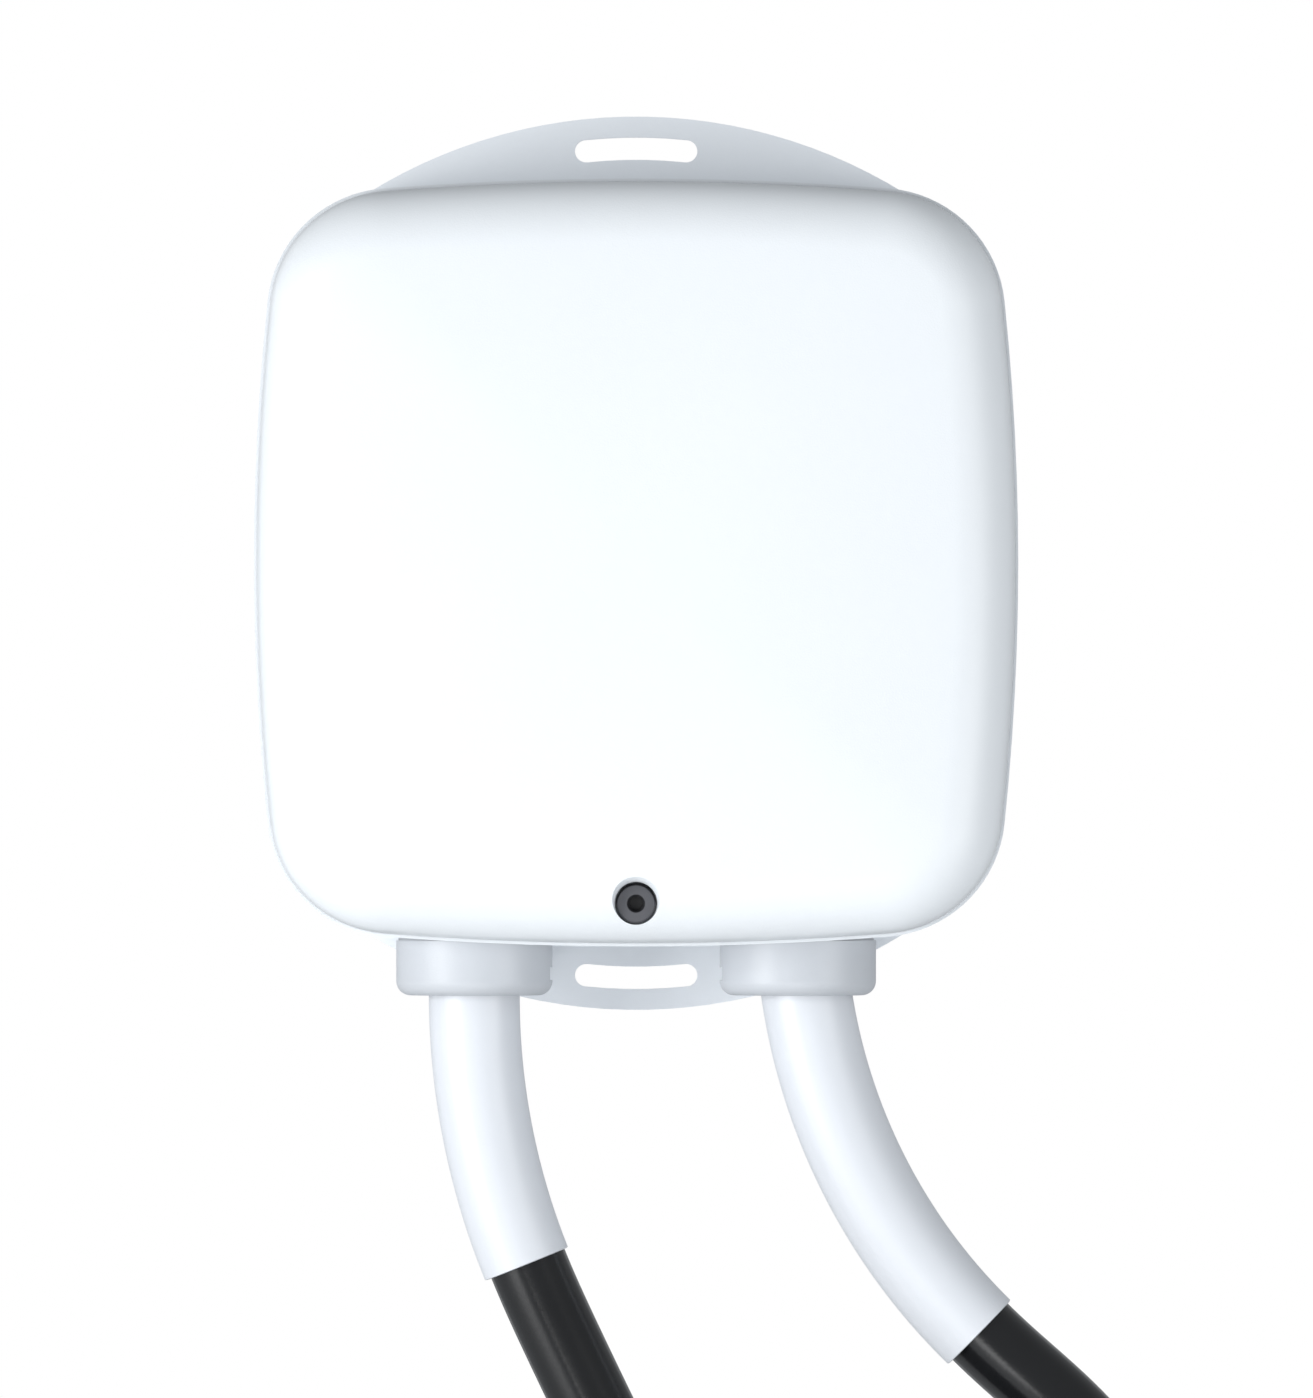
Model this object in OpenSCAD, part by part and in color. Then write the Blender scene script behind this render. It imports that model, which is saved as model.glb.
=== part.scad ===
// Wall-mounted vehicle charging box with a supply cable and a tethered charging cable.
// The wall is the plane Y = 0, the box stands out of it towards -Y, and +Z is up.
// The origin is the middle of the wall plate's back face.

/* [Housing] */
// Width of the rear case across its bowed sides
case_w = 175.8; // [160:1:230]
// Height of the rear case across its bowed top and bottom
case_h = 176.6; // [160:1:230]
// Radius of the bow of the left and right sides
side_bow_r = 574; // [400:10:1200]
// Radius of the bow of the top and bottom
top_bow_r = 746; // [400:10:1200]
// Radius of the rounded corners
corner_r = 29; // [22:1:36]
// Depth of the rear case from its back to the parting line
case_depth = 45; // [42:1:60]
// Thickness of the rear case's walls
case_wall = 3.4; // [2.8:0.1:4]
// Thickness of the rear case's back
case_back = 3; // [2.5:0.1:5]

/* [Cover] */
// How far the cover steps in from the rear case at the parting line
cover_step = 0.7; // [0.4:0.1:1]
// Thickness of the cover
cover_wall = 2.8; // [2.2:0.1:3.4]
// Depth of the cover's upright skirt
skirt_depth = 17; // [12:1:30]
// How far the cover's sides lean in over the skirt
skirt_draft = 0.5; // [0:0.1:1]
// Width of the rounded front edge, seen from the front
edge_w = 13.8; // [8:0.2:18]
// Depth of the rounded front edge
edge_depth = 11; // [6:0.5:14]
// How far the middle of the face stands out beyond its edge
crown = 5; // [0:0.5:8]
// Shadow gap between the cover and the rear case
parting_gap = 0.3; // [0.1:0.1:0.6]
// Straight pull that frees the cover
cover_travel = 70; // [50:1:100]

/* [Wall plate] */
// Thickness of the wall plate
plate_t = 4; // [3:0.5:6]
// How far the tabs stand out beyond the case, above and below it
tab_out = 15; // [13.5:0.1:30]
// Radius of the tabs' outer edges
tab_r = 117.7; // [108:0.1:122]
// Distance from the case's edge out to the middle of each wall slot
slot_out = 7.6; // [6.5:0.1:9]
// End-to-end length of a wall slot
slot_l = 28.3; // [20:0.1:36]
// Width of a wall slot
slot_w = 5.2; // [4:0.1:6]
// Half the width of the plate behind the case
plate_half_w = 78; // [70:1:79]

/* [Cable entries] */
// Distance of each cable entry from the middle
entry_x = 37.3; // [34:0.1:42]
// Distance of the cable entries from the wall
entry_y = 29; // [27:0.5:30]
// Outer diameter of a collar
collar_d = 36; // [33:0.5:38]
// Height of a collar under its seal
collar_h = 12.7; // [11:0.1:21]
// Rounding of a collar's lower edge
collar_round = 3.3; // [1:0.1:4]
// Diameter of the threaded neck of a collar
neck_d = 28; // [27:0.1:29]
// Width across the flats of a lock nut
locknut_af = 36; // [33:0.5:38]
// Outer diameter of a bend sleeve
sleeve_d = 21; // [20.4:0.1:22]
// Lean of the left sleeve at its end, in degrees
left_lean = 22; // [15:1:30]
// Lean of the right sleeve at its end, in degrees
right_lean = 45.7; // [35:0.1:50]

/* [Cables] */
// Outer diameter of both cables
cable_d = 18.2; // [16:0.1:18.6]
// Radius of the middle of the charging coil's turns
charge_coil_r = 105; // [95:1:110]
// Radius of the outer turn of the supply coil
supply_coil_r = 109; // [95:1:110]

/* [Cover screw] */
// Distance of the cover screw above the housing's lower edge
screw_up = 10; // [8.5:0.1:12.5]
// Diameter of the screw's head
screw_head_d = 9.1; // [8:0.1:9.5]
// Thread diameter of the cover screw
screw_d = 5; // [4:0.5:5]
// Thread pitch of the cover screw
screw_pitch = 0.8; // [0.7:0.1:1]
// Travel of the captive screw
screw_travel = 5.6; // [3:0.1:6]

/* [Electronics] */
// Width of the main board
board_w = 132; // [120:1:140]
// Height of the main board
board_h = 92; // [80:1:96]
// Thickness of the main board
board_t = 1.6; // [1:0.1:2]
// Height of the posts under the board
post_h = 8; // [5:1:12]

/* [Connector] */
// Diameter of the connector's nose
nose_d = 58; // [54:1:62]
// Length of the connector's nose
nose_l = 42; // [36:1:48]
// Length of the connector's grip
grip_l = 115; // [100:1:125]
// Length of the connector's bend boot
boot_l = 35; // [30:1:45]
// Straight pull that frees the dust cap
cap_travel = 50; // [45:1:60]

/* [Hidden] */
$fn = 64;

fit = 0.05;            // running clearance on a radius
slack = 0.3;           // clearance between loose neighbours
cut = 1;               // how far a cut runs past the surface it opens

// The housing's outline: four bowed sides joined by tangent corners
half_w = case_w / 2;
half_h = case_h / 2;
side_centre = half_w - side_bow_r;
top_centre = half_h - top_bow_r;
reach_side = side_bow_r - corner_r;
reach_top = top_bow_r - corner_r;
centres_apart = norm([side_centre, top_centre]);
along = (pow(reach_side, 2) - pow(reach_top, 2) + pow(centres_apart, 2)) / (2 * centres_apart);
aside = sqrt(pow(reach_side, 2) - pow(along, 2));
ux = -side_centre / centres_apart;
uz = top_centre / centres_apart;
corner_x = side_centre + along * ux - aside * uz;
corner_z = along * uz + aside * ux;
side_end = atan2(corner_z, corner_x - side_centre);
top_start = atan2(corner_z - top_centre, corner_x);

// The wall plate
tab_reach = half_h + tab_out;              // from the origin to the end of a tab
slot_reach = half_h + slot_out;
plate_screw_x = 40;
plate_screw_z = 58;
plate_screw_r = 2;

// Depths, all counted from the wall
back_y = plate_t;                          // the case's back
floor_y = back_y + case_back;              // the inside of the case's back
rim_y = back_y + case_depth;               // the case's rim
gasket_t = 1.2;
gasket_in = 1.5;                           // from the outline to the gasket's outer edge
gasket_w = 1.7;
cover_y = rim_y + parting_gap;             // the cover's edge
shoulder_y = rim_y + skirt_depth;          // where the rounded front edge begins

// The cable entries, counted from the origin along Z
entry_floor = half_h - 2.3;                // the seat of the collar's seal in the case's underside
seal_t = 1;
collar_reach = entry_floor + seal_t + collar_h;
drop = entry_floor - 86;                   // how far a taller case lowers the cables
pad_z = half_h - 6.5;                      // the flat pad inside the case's bottom
locknut_t = 5;
neck_top = pad_z - locknut_t - 3;
neck_bore = neck_d / 2 - 1.4;
mouth_r = neck_bore + 1;
sleeve_top = neck_top - 1;
sleeve_bore = cable_d / 2 + slack;
cable_top = 58 + drop;                     // the sheath's end inside the case
clamp_z = 66 + drop;                       // middle of the cord clamps
clamp_t = 7;
clamp_w = cable_d + 16;
clamp_cap_h = cable_d / 2 + 3;
clamp_screw_x = cable_d / 2 + 4;
clamp_screw_r = 2;

// The sleeves' arcs
left_arc_r = 165;
right_lead_r = 187;
right_lead_lean = 8.5;
right_arc_r = 136.6;

// The cover screw
screw_z = screw_up - half_h;
boss_r = 5.5;
boss_y = rim_y + 2;                        // face of the case's boss
insert_l = 12;
insert_r = 3.6;
seat_y = shoulder_y + 5.6;                 // what the screw's head bears on
head_t = 3.1;
dish_d = 11.5;
socket_d = 4.1;
socket_af = 3;
shank_r = screw_d / 2;
shank_tip = boss_y - 10;
tube_r = 6.2;                              // the cover's tube round the screw
pocket_r = 4.6;
retainer_r = 4.2;
retainer_t = 0.8;
retainer_y = boss_y + 7;

// Board and what stands on it
post_x = board_w / 2 - 5;
board_low = -24;
board_mid = board_low + board_h / 2;
post_dz = board_h / 2 - 6;
board_y = floor_y + post_h;
part_y = board_y + board_t;
terminal_w = 40;
terminal_h = 17;
terminal_t = 18;
wire_d = 3.6;
wire_step = 8;
wire_y = part_y + 8;
board_screw_r = 1.5;
sensor_z = -45;
sensor_t = 9;
sensor_w = 38;
sensor_bore = 14.4;
core_colours = ["saddlebrown", "black", "limegreen", "gray", "royalblue"];

// The coils: flat rings that stand parallel to the wall
supply_coil_y = -29;
supply_coil_x = 49 - supply_coil_r;
supply_coil_z = -390 - drop;
layer = cable_d * sin(60);                 // from one layer of nested turns to the next
bundle_r = (layer + cable_d / 2) / cos(30);
charge_coil_y = -70;
charge_coil_x = 124.5 - charge_coil_r - layer;
charge_coil_z = -350 - drop;
tie_t = 1.5;
tie_w = 12;                                // angle that a tie covers, in degrees
tail_gap = 0.2;                            // from a coil to the tail that crosses it

// The connector hangs nose down on the charging cable
plug_x = charge_coil_x + charge_coil_r - layer;
plug_y = charge_coil_y - bundle_r - cable_d / 2 - tail_gap;
plug_top = -450 - drop;
grip_top = plug_top - boot_l;
nose_top = grip_top - grip_l;
nose_end = nose_top - nose_l;
shell_wall = 3;
boot_neck = 11;
boot_flange = 12.5;
carrier_r = nose_d / 2 - 7;
contact_spots = [[0, 0, 3], [-13, 0, 3], [13, 0, 3], [-7, -12, 3], [7, -12, 3], [-6.5, 11, 1.5],
                 [6.5, 11, 1.5]];
cap_t = 2.2;

// The cables' routes, from the sheath's end inside the case to the start of each coil
function hung(route) = [for (p = route) p - [0, 0, drop]];
supply_route = hung([
    [-37.3, -29, -58], [-37.3, -29, -72], [-37.3, -29, -86], [-37.2, -29, -100],
    [-36.8, -29, -111.5], [-35.6, -29, -123], [-33.6, -29, -134], [-30.8, -29, -145],
    [-27.2, -29, -156], [-22.8, -29, -167], [-17.2, -29, -179], [-11, -29, -192],
    [1.2, -29, -217], [13.5, -29, -242], [25, -29, -266], [35, -29, -289],
    [43, -29, -312], [47.5, -29, -337], [49, -29, -363], [49, -29, -390]
]);
supply_tail_x = 49 - cable_d;
supply_tail_y = supply_coil_y + cable_d + tail_gap;
supply_tail_route = hung([for (z = [-390, -415, -440, -465, -490, -520])
    [supply_tail_x, supply_tail_y, z]]);
charging_route = hung([
    [37.3, -29, -58], [37.3, -29, -72], [37.8, -29, -86], [39.4, -29, -100],
    [41.7, -29, -111.4], [45, -29, -122.9], [49.2, -29, -134], [54.4, -29, -144.7],
    [60.6, -29, -154.9], [67.6, -29, -164.4], [75.4, -29, -173.5], [84.5, -29.2, -182.4],
    [95.8, -30, -192], [106, -32, -202], [114, -34.5, -213.5], [119.8, -37.5, -226],
    [123.2, -41, -239.5], [124.5, -45, -254], [124.5, -52, -278], [124.5, -57.5, -302],
    [124.5, -60.4, -326], [124.5, -61, -350]
]);
charging_tail_route = hung([for (z = [-350, -375, -400, -425, -450, -472, -494])
    [plug_x, plug_y, z]]);

// ---- Helpers ----

// Points of an arc, from angle a0 to a1 in n steps, without its last point
function arc(c, r, a0, a1, n) =
    [for (i = [0 : n - 1]) let (a = a0 + (a1 - a0) * i / n) c + r * [cos(a), sin(a)]];

// The housing's outline moved inward by t, then scaled by f
function quarter(t) = concat(
    arc([side_centre, 0], side_bow_r - t, 0, side_end, 3),
    arc([corner_x, corner_z], corner_r - t, side_end, top_start, 8),
    arc([0, top_centre], top_bow_r - t, top_start, 90, 3));
function outline(t, f = 1) = let (q = quarter(t), n = len(q)) f * concat(
    q,
    [[0, half_h - t]],
    [for (i = [n - 1 : -1 : 1]) [-q[i][0], q[i][1]]],
    [for (i = [0 : n - 1]) [-q[i][0], -q[i][1]]],
    [[0, t - half_h]],
    [for (i = [n - 1 : -1 : 1]) [q[i][0], -q[i][1]]]);

// The true outline, with its arcs, moved inward by t
module outline_2d(t = 0) {
    difference() {
        intersection() {
            translate([side_centre, 0]) circle(r = side_bow_r - t);
            translate([-side_centre, 0]) circle(r = side_bow_r - t);
            translate([0, top_centre]) circle(r = top_bow_r - t);
            translate([0, -top_centre]) circle(r = top_bow_r - t);
        }
        for (sx = [-1, 1], sz = [-1, 1]) scale([sx, sz]) corner_cut(t);
    }
}

module corner_cut(t) {
    c = [corner_x, corner_z];
    difference() {
        polygon([
            c, c + (corner_r - t) * [cos(side_end), sin(side_end)],
            c + 2 * corner_r * [cos(side_end), sin(side_end)], c + 2 * corner_r * [1, 1],
            c + 2 * corner_r * [cos(top_start), sin(top_start)],
            c + (corner_r - t) * [cos(top_start), sin(top_start)]
        ]);
        translate(c) circle(r = corner_r - t);
    }
}

// Extrudes a shape drawn in X and Z from depth y0 to depth y1
module slab(y0, y1) {
    translate([0, -y0, 0]) rotate([90, 0, 0]) linear_extrude(y1 - y0) children();
}

// A round bar along the depth, at x and z, from depth y0 to depth y1
module bar(x, z, r, y0, y1, r2 = -1) {
    translate([x, -y0, z]) rotate([90, 0, 0]) cylinder(r1 = r, r2 = r2 < 0 ? r : r2, h = y1 - y0);
}

// A block from depth y0 to depth y1, centred on x and z
module block(x, z, w, h, y0, y1) {
    translate([x - w / 2, -y1, z - h / 2]) cube([w, y1 - y0, h]);
}

// A solid lofted through rings of points that all have the same number of points
module loft(rings) {
    n = len(rings[0]);
    m = len(rings);
    polyhedron(
        points = [for (r = rings) each r],
        faces = concat(
            [[for (i = [0 : n - 1]) i]],
            [for (k = [0 : m - 2], i = [0 : n - 1])
                let (j = (i + 1) % n) [k * n + j, k * n + i, (k + 1) * n + i, (k + 1) * n + j]],
            [[for (i = [n - 1 : -1 : 0]) (m - 1) * n + i]]),
        convexity = 6);
}

// A tube swept along a route that lies close to a plane parallel to the wall
function heading(p, i) =
    let (a = p[max(i - 1, 0)], b = p[min(i + 1, len(p) - 1)]) (b - a) / norm(b - a);
function ring(c, t, r, sides) =
    let (u = cross(t, [0, 1, 0]) / norm(cross(t, [0, 1, 0])), v = cross(t, u))
    [for (k = [0 : sides - 1]) c + r * (cos(360 * k / sides) * u + sin(360 * k / sides) * v)];
module swept(route, d, sides = 12) {
    loft([for (i = [0 : len(route) - 1]) ring(route[i], heading(route, i), d / 2, sides)]);
}

// A straight round bar between two points
module rod(a, b, r) {
    d = b - a;
    translate(a)
        rotate([0, acos(d[2] / norm(d)), atan2(d[1], d[0])])
            cylinder(r = r, h = norm(d), $fn = 24);
}

// A bent piece of tube that begins at p, leaning by lean0, and ends leaning by lean1
module bent_tube(p, bend_r, lean0, lean1, r_out, r_in) {
    centre = p + bend_r * [cos(lean0), 0, sin(lean0)];
    translate(centre)
        rotate([90, 0, 0])
            rotate([0, 0, 180 + lean0])
                rotate_extrude(angle = lean1 - lean0, $fn = 180)
                    translate([bend_r, 0]) difference() {
                        circle(r = r_out);
                        circle(r = r_in);
                    }
}

// A screw with a round head, driven towards the wall: its head's seat is at depth y
module pan_screw(x, z, y, shank, length, head, head_h) {
    difference() {
        union() {
            bar(x, z, shank, y - length, y);
            bar(x, z, head, y, y + head_h);
        }
        bar(x, z, shank * 0.6, y + head_h * 0.45, y + head_h + cut);
    }
}

// ---- Housing ----

module wall_plate() {
    tab_centre = tab_reach - tab_r;
    slot_r = slot_reach - tab_centre;
    half_angle = asin((slot_l - slot_w) / 2 / slot_r);
    color("gainsboro") difference() {
        slab(0, plate_t) difference() {
            intersection() {
                translate([0, tab_centre]) circle(r = tab_r, $fn = 180);
                translate([0, -tab_centre]) circle(r = tab_r, $fn = 180);
                square([2 * plate_half_w, 3 * tab_reach], center = true);
            }
            for (s = [-1, 1]) scale([1, s]) translate([0, tab_centre])
                slot_2d(slot_r, half_angle);
        }
        for (x = [-1, 1], z = [-1, 1]) bar(x * plate_screw_x, z * plate_screw_z, plate_screw_r + fit,
                                           0.8, plate_t + cut);
    }
}

module slot_2d(r, half_angle) {
    intersection() {
        difference() {
            circle(r = r + slot_w / 2, $fn = 180);
            circle(r = r - slot_w / 2, $fn = 180);
        }
        polygon([[0, 0], 2 * r * [-sin(half_angle), cos(half_angle)],
                 2 * r * [sin(half_angle), cos(half_angle)]]);
    }
    for (s = [-1, 1]) translate(r * [s * sin(half_angle), cos(half_angle)]) circle(d = slot_w);
}

module rear_case() {
    color("whitesmoke") difference() {
        union() {
            difference() {
                slab(back_y, rim_y) outline_2d();
                slab(floor_y, rim_y + cut) outline_2d(case_wall);
            }
            intersection() {
                slab(back_y, rim_y) outline_2d();
                for (s = [-1, 1]) translate([s * entry_x, -entry_y, -half_h])
                    cylinder(r = locknut_af / 2 + 3, h = half_h - pad_z);
            }
            for (x = [-1, 1], z = [-1, 1])
                bar(x * post_x, board_mid + z * post_dz, 4, floor_y - cut, board_y);
            bar(0, screw_z, boss_r, floor_y - cut, boss_y);
            block(0, screw_z - boss_r / 2 - 1, 2.4, 10, floor_y - cut, rim_y - 4);
        }
        for (s = [-1, 1]) translate([s * entry_x, -entry_y, 0]) {
            translate([0, 0, -half_h - cut]) cylinder(r = collar_d / 2 + slack,
                                                      h = half_h + cut - entry_floor);
            translate([0, 0, -half_h - cut]) cylinder(r = neck_d / 2 + fit, h = 14);
        }
        for (x = [-1, 1], z = [-1, 1])
            bar(x * plate_screw_x, z * plate_screw_z, plate_screw_r + fit, back_y - cut, floor_y + cut);
        for (x = [-1, 1], z = [-1, 1])
            bar(x * post_x, board_mid + z * post_dz, board_screw_r + fit, floor_y, board_y + cut);
        bar(0, screw_z, insert_r, boss_y - insert_l, boss_y + cut);
        for (x = [-1, 1], z = [-1, 1]) bar(x * clamp_screw_x + z * entry_x, -clamp_z,
                                           clamp_screw_r + fit, floor_y - 2, floor_y + cut);
    }
}

module plate_screws() {
    color("silver") for (x = [-1, 1], z = [-1, 1])
        pan_screw(x * plate_screw_x, z * plate_screw_z, floor_y, plate_screw_r,
                  floor_y - 1, 3.8, 2.4);
}

module cover_gasket() {
    color("dimgray") slab(rim_y, rim_y + gasket_t) difference() {
        outline_2d(gasket_in);
        outline_2d(gasket_in + gasket_w);
    }
}

// Depth of the cover's front at a distance t in from the outline, for a skin moved in by k
function front_y(t, k = 0) =
    let (s = min((t - cover_step - skirt_draft - k) / (edge_w - k), 1))
    shoulder_y + (edge_depth - k * 0.6) * sqrt(max(1 - pow(1 - s, 2), 0))
    + crown * (1 - pow(1 - min(t / half_w, 1), 2)) - k * 0.4;

function cover_ring(t, y, f = 1) = [for (p = outline(t, f)) [p[0], -y, p[1]]];

// Rings of the cover's skin, moved inward by k
function cover_rings(k, y0, turns) =
    let (t0 = cover_step + skirt_draft + k, last = t0 + edge_w - k)
    concat(
        [cover_ring(cover_step + k, y0)],
        [for (i = [0 : turns]) let (t = t0 + (edge_w - k) * (1 - cos(90 * i / turns)))
            cover_ring(t, front_y(t, k))],
        [for (f = [0.85, 0.65, 0.4, 0.15])
            cover_ring(last, front_y(half_w - f * (half_w - last), k), f)]);

module front_cover() {
    color("white") difference() {
        union() {
            difference() {
                loft(cover_rings(0, cover_y, 7));
                loft(cover_rings(cover_wall, cover_y - cut, 5));
            }
            bar(0, screw_z, tube_r, boss_y + 0.2, seat_y);
        }
        slab(rim_y - cut, rim_y + gasket_t + 0.05) difference() {
            outline_2d(gasket_in - 0.2);
            outline_2d(gasket_in + gasket_w + 2);
        }
        bar(0, screw_z, screw_head_d / 2 + slack, seat_y, seat_y + 20);
        bar(0, screw_z, screw_head_d / 2 + slack, seat_y + 2, seat_y + 6, dish_d / 2 + 0.9);
        bar(0, screw_z, shank_r + slack, boss_y, seat_y + cut);
        bar(0, screw_z, pocket_r, boss_y, retainer_y + retainer_t + screw_travel + 0.6);
    }
}

module screw_retainer() {
    color("black") difference() {
        bar(0, screw_z, retainer_r, retainer_y, retainer_y + retainer_t);
        bar(0, screw_z, shank_r + fit, retainer_y - cut, retainer_y + retainer_t + cut);
    }
}

module cover_screw() {
    color("dimgray") difference() {
        union() {
            bar(0, screw_z, shank_r, shank_tip + 1, seat_y);
            bar(0, screw_z, shank_r - 0.8, shank_tip, shank_tip + 1, shank_r);
            bar(0, screw_z, screw_head_d / 2, seat_y, seat_y + head_t - 0.5);
            bar(0, screw_z, screw_head_d / 2, seat_y + head_t - 0.5, seat_y + head_t,
                screw_head_d / 2 - 0.4);
        }
        bar(0, screw_z, socket_af / 2 - 0.1, seat_y + head_t - 1.2, seat_y + head_t + cut,
            socket_d / 2 + 0.6);
        translate([0, -seat_y - 0.8, screw_z]) rotate([90, 0, 0])
            cylinder(d = socket_af / cos(30), h = head_t, $fn = 6);
    }
}

module cover_screw_insert() {
    color("goldenrod") difference() {
        bar(0, screw_z, insert_r, boss_y - insert_l, boss_y);
        bar(0, screw_z, shank_r + fit, boss_y - insert_l - cut, boss_y + cut);
    }
}

// ---- Cable entries ----

module collar(side) {
    color("gainsboro") translate([side * entry_x, -entry_y, 0]) difference() {
        rotate_extrude($fn = 96) difference() {
            union() {
                translate([0, -collar_reach]) square([collar_d / 2 - collar_round, collar_round]);
                translate([0, -collar_reach + collar_round])
                    square([collar_d / 2, collar_reach - collar_round - entry_floor - seal_t]);
                intersection() {
                    translate([collar_d / 2 - collar_round, -collar_reach + collar_round])
                        circle(r = collar_round);
                    translate([0, -collar_reach]) square([collar_d / 2, collar_round]);
                }
                translate([0, -entry_floor - seal_t - cut])
                    square([neck_d / 2, entry_floor + seal_t + cut - neck_top]);
            }
            polygon([[-cut, -collar_reach - cut], [mouth_r, -collar_reach - cut],
                     [mouth_r, -collar_reach], [neck_bore, -entry_floor],
                     [neck_bore, -neck_top + cut], [-cut, -neck_top + cut]]);
        }
        translate([-side * collar_d / 2, 0, -collar_reach + 5])
            cube([4.4, 9, 3], center = true);
    }
}

module collar_left() { collar(-1); }
module collar_right() { collar(1); }

// A flat ring round a cable entry, from r0 to r1, from height z0 up to z1
module entry_ring(side, r0, r1, z0, z1, sides = 96) {
    translate([side * entry_x, -entry_y, z0]) difference() {
        cylinder(r = r1, h = z1 - z0, $fn = sides);
        translate([0, 0, -cut]) cylinder(r = r0, h = z1 - z0 + 2 * cut);
    }
}

module collar_seals() {
    color("black") for (s = [-1, 1])
        entry_ring(s, neck_d / 2 + fit, collar_d / 2 - 0.5, -entry_floor - seal_t, -entry_floor);
}

module locknut(side) {
    color("dimgray") entry_ring(side, neck_d / 2 + fit, locknut_af / 2 / cos(30), -pad_z,
                                -pad_z + locknut_t, 6);
}
module locknut_left() { locknut(-1); }
module locknut_right() { locknut(1); }

module grommet(side) {
    color("black") entry_ring(side, sleeve_d / 2 + slack, neck_bore, -neck_top - 6, -neck_top - 1);
}
module grommet_left() { grommet(-1); }
module grommet_right() { grommet(1); }

module sleeve_left() {
    start = [-entry_x, -entry_y, -collar_reach];
    color("white") union() {
        translate([-entry_x, -entry_y, -collar_reach]) difference() {
            cylinder(d = sleeve_d, h = collar_reach - sleeve_top);
            translate([0, 0, -cut]) cylinder(r = sleeve_bore, h = collar_reach + cut);
        }
        bent_tube(start, left_arc_r, 0, left_lean, sleeve_d / 2, sleeve_bore);
    }
}

module sleeve_right() {
    top = -collar_reach + right_lead_r * sin(right_lead_lean);
    start = [entry_x, -entry_y, top];
    mid = start + right_lead_r * [1 - cos(right_lead_lean), 0, -sin(right_lead_lean)];
    color("white") union() {
        bent_tube(start, right_lead_r, 0, right_lead_lean, sleeve_d / 2, sleeve_bore);
        bent_tube(mid, right_arc_r, right_lead_lean, right_lean, sleeve_d / 2, sleeve_bore);
    }
}

module clamp_bases() {
    color("dimgray") for (s = [-1, 1]) difference() {
        block(s * entry_x, -clamp_z, clamp_w, clamp_t, floor_y, entry_y);
        translate([s * entry_x, -entry_y, -clamp_z - clamp_t])
            cylinder(d = cable_d + 0.1, h = 2 * clamp_t);
        for (x = [-1, 1])
            bar(s * entry_x + x * clamp_screw_x, -clamp_z, clamp_screw_r + fit, floor_y - cut,
                entry_y + cut);
    }
}

module clamp_caps() {
    color("gray") for (s = [-1, 1]) difference() {
        block(s * entry_x, -clamp_z, clamp_w, clamp_t, entry_y, entry_y + clamp_cap_h);
        translate([s * entry_x, -entry_y, -clamp_z - clamp_t])
            cylinder(d = cable_d + 0.1, h = 2 * clamp_t);
        for (x = [-1, 1])
            bar(s * entry_x + x * clamp_screw_x, -clamp_z, clamp_screw_r + fit, entry_y - cut,
                entry_y + clamp_cap_h + cut);
    }
}

module clamp_screws() {
    color("silver") for (s = [-1, 1], x = [-1, 1])
        pan_screw(s * entry_x + x * clamp_screw_x, -clamp_z, entry_y + clamp_cap_h, clamp_screw_r,
                  entry_y + clamp_cap_h - floor_y + 2, 3.4, 2.2);
}

// ---- Electronics ----

module main_board() {
    color("darkgreen") difference() {
        block(0, board_mid, board_w, board_h, board_y, part_y);
        for (x = [-1, 1], z = [-1, 1])
            bar(x * post_x, board_mid + z * post_dz, board_screw_r + 0.1, board_y - cut,
                part_y + cut);
    }
}

module board_screws() {
    color("silver") for (x = [-1, 1], z = [-1, 1])
        pan_screw(x * post_x, board_mid + z * post_dz, part_y, board_screw_r, post_h, 2.8, 1.8);
}

module power_relays() {
    color("black") for (x = [-1, 1]) block(x * 20, board_mid + 8, 30, 28, part_y, part_y + 25);
}

module power_supply() {
    color("dimgray") block(-20, board_mid + 33, 46, 18, part_y, part_y + 20);
}

// A terminal block with an entry and a screw shaft for each wire
module terminals(side) {
    difference() {
        block(side * entry_x, board_low + 2 + terminal_h / 2, terminal_w, terminal_h, part_y,
              part_y + terminal_t);
        for (i = [-2 : 2]) {
            translate([side * entry_x + i * wire_step, -wire_y, board_low + 2 - cut])
                cylinder(d = wire_d + 0.4, h = 9, $fn = 24);
            bar(side * entry_x + i * wire_step, board_low + 2 + terminal_h / 2, 2.2,
                wire_y + wire_d / 2 + 1, part_y + terminal_t + cut);
        }
    }
}

module supply_terminals() { color("gray") terminals(-1); }
module charging_terminals() { color("gray") terminals(1); }

module terminal_screws() {
    color("silver") for (s = [-1, 1], i = [-2 : 2])
        difference() {
            bar(s * entry_x + i * wire_step, board_low + 2 + terminal_h / 2, 2.1,
                wire_y + wire_d / 2 + 1, part_y + terminal_t - 3);
            block(s * entry_x + i * wire_step, board_low + 2 + terminal_h / 2, 5, 0.6,
                  part_y + terminal_t - 3.8, part_y + terminal_t);
        }
}

module current_sensor() {
    color("navy") difference() {
        union() {
            block(entry_x, sensor_z, sensor_w, sensor_t, floor_y, entry_y + 15);
            block(entry_x, sensor_z, sensor_w + 18, sensor_t, floor_y, floor_y + 3);
        }
        translate([entry_x, -entry_y, sensor_z - sensor_t])
            cylinder(r = sensor_bore, h = 2 * sensor_t);
        for (x = [-1, 1])
            bar(entry_x + x * (sensor_w / 2 + 4.5), sensor_z, board_screw_r + fit, floor_y - cut,
                floor_y + 4);
    }
}

module sensor_screws() {
    color("silver") for (x = [-1, 1])
        pan_screw(entry_x + x * (sensor_w / 2 + 4.5), sensor_z, floor_y + 3, board_screw_r, 3,
                  2.8, 1.8);
}

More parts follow.
